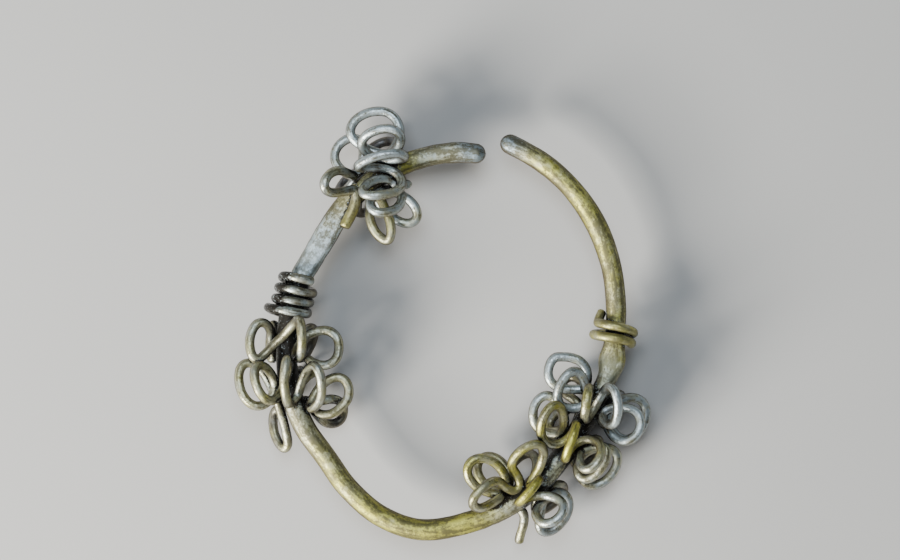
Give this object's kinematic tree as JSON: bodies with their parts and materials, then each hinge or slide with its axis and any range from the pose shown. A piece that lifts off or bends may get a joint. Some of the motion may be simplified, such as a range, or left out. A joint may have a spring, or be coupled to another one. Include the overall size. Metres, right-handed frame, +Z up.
{
  "type": "openwork wire bead temple ring",
  "caption": "Open ring of stout wire for the side of a headdress, with openwork beads coiled from thin wire round it, held by short wire bindings.",
  "frame": {"origin": "middle of the footprint, on the surface that the ring lies on", "axes": "+Z up through the lying ring, +Y towards the gap between its free ends, +X to the side of its right-hand bead"},
  "size_m": [0.0518, 0.055, 0.0128],
  "materials": {
    "yellow_alloy": "worn yellow copper alloy with olive shade and grey wear",
    "pale_alloy": "worn pale grey copper alloy with dark tarnish in the recesses",
    "olive_alloy": "worn copper alloy, yellow on its crests and blue grey between"
  },
  "bodies": {
    "root": {"ring_wire": "yellow_alloy", "bead_top": "pale_alloy", "bead_left": "pale_alloy", "bead_bottom": "olive_alloy", "bead_right": "olive_alloy", "binding_left": "pale_alloy", "binding_right": "yellow_alloy"}
  },
  "joints": []
}
